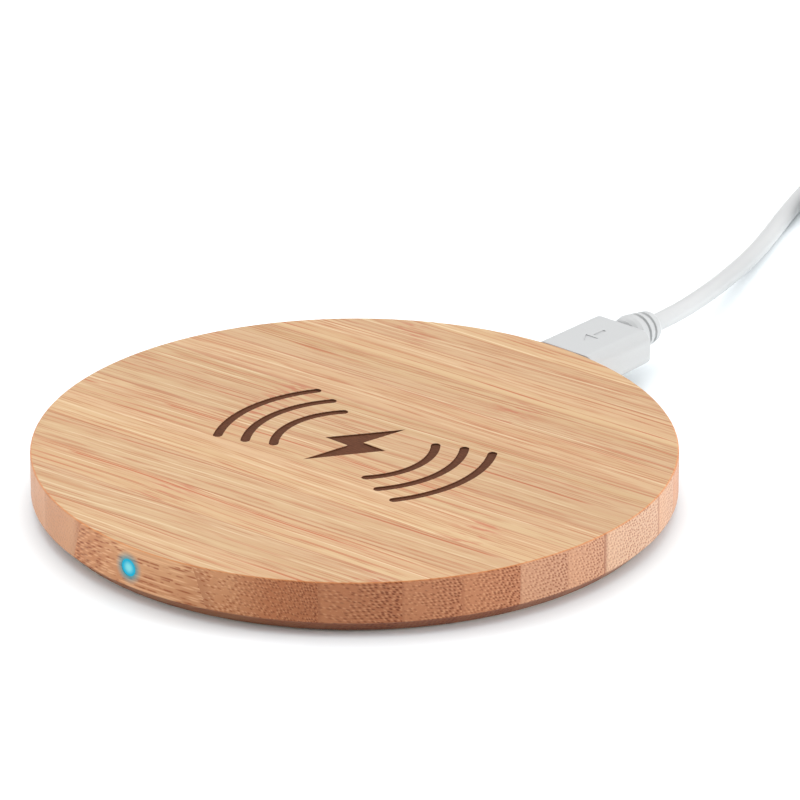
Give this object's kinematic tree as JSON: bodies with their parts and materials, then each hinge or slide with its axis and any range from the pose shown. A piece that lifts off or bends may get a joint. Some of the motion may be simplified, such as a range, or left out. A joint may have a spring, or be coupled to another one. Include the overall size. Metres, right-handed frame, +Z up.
{
  "type": "wireless charging pad",
  "caption": "Round bamboo wireless charging pad with a rim light guide, a micro-USB port and a detachable cable that ends in a USB-A plug.",
  "frame": {"origin": "centre of the pad on the surface its feet stand on", "axes": "+Z up through the pad's charging face, +Y from the centre to the micro-USB port, the status light faces -Y"},
  "size_m": [0.1, 0.2408, 0.0094],
  "materials": {
    "bamboo": "oiled satin",
    "cover_plastic": "fine texture",
    "steel": "plated",
    "rubber": "matt",
    "board": "solder mask",
    "film": "adhesive",
    "ferrite": "sintered",
    "copper_wire": "enamelled",
    "lead_sleeve": "sleeve",
    "solder": "solder",
    "foam": "closed-cell foam",
    "thermistor": "epoxy",
    "chip_plastic": "moulded",
    "ceramic": "ceramic",
    "light": "clear, lit",
    "port_plastic": "moulded",
    "contact_gold": "gold flash",
    "white_plastic": "soft satin",
    "cable_jacket": "soft satin",
    "tie_fabric": "woven strap"
  },
  "bodies": {
    "pad": {"bamboo_shell": "bamboo", "bottom_cover": "cover_plastic", "cover_screws": "steel", "rubber_feet": "rubber", "main_board": "board", "adhesive_film": "film", "ferrite_shield": "ferrite", "charging_coil": "copper_wire", "coil_leads": "lead_sleeve", "solder_joints": "solder", "foam_pad": "foam", "thermistor": "thermistor", "controller_chip": "chip_plastic", "power_transistors": "chip_plastic", "resonant_capacitors": "ceramic", "power_inductor": "ferrite", "input_capacitors": "ceramic", "crystal": "steel", "chip_capacitors": "ceramic", "chip_resistors": "chip_plastic", "status_led": "light", "light_guide": "light", "receptacle_shell": "steel", "receptacle_tongue": "port_plastic", "receptacle_contacts": "contact_gold"},
    "cable": {"micro_plug_shell": "steel", "micro_plug_carrier": "port_plastic", "micro_plug_contacts": "contact_gold", "micro_plug_grip": "white_plastic", "strain_relief": "white_plastic", "cable_lead": "cable_jacket", "cable_coil": "cable_jacket", "cable_tail": "cable_jacket", "cable_tie": "tie_fabric", "usb_a_strain_relief": "white_plastic", "usb_a_grip": "white_plastic", "usb_a_shell": "steel", "usb_a_insulator": "port_plastic", "usb_a_contacts": "contact_gold"}
  },
  "joints": [
    {"name": "plug_pull", "type": "slide", "parent": "pad", "child": "cable", "axis": [0, 1, 0], "range_m": [0, 0.009]}
  ]
}
